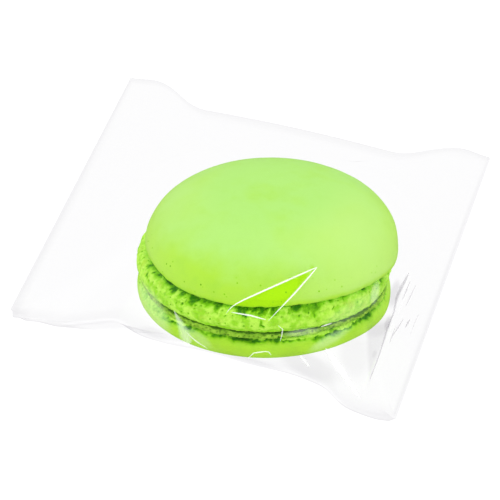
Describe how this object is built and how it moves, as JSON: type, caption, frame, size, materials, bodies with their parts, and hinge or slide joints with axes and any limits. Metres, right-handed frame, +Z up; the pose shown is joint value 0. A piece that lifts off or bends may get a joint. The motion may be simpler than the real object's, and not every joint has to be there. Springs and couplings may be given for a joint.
{
  "type": "french macaron in a clear bag",
  "caption": "Lime green french macaron, two domed shells with ruffled feet and a thin filling, lying in a clear pillow bag of film sealed at both ends.",
  "frame": {"origin": "on the table, under the middle of the bag's box", "axes": "+X from the left seal to the right seal, +Y from the near fold of the film tube to the far fold, +Z up"},
  "size_m": [0.0768, 0.084, 0.0279],
  "materials": {
    "shell": "baked almond meringue, satin on the dome and rough on the foot",
    "filling": "soft dull cream",
    "film": "clear glossy film"
  },
  "bodies": {
    "root": {"bag": "film", "shell_top": "shell", "filling": "filling", "shell_bottom": "shell"}
  },
  "joints": []
}
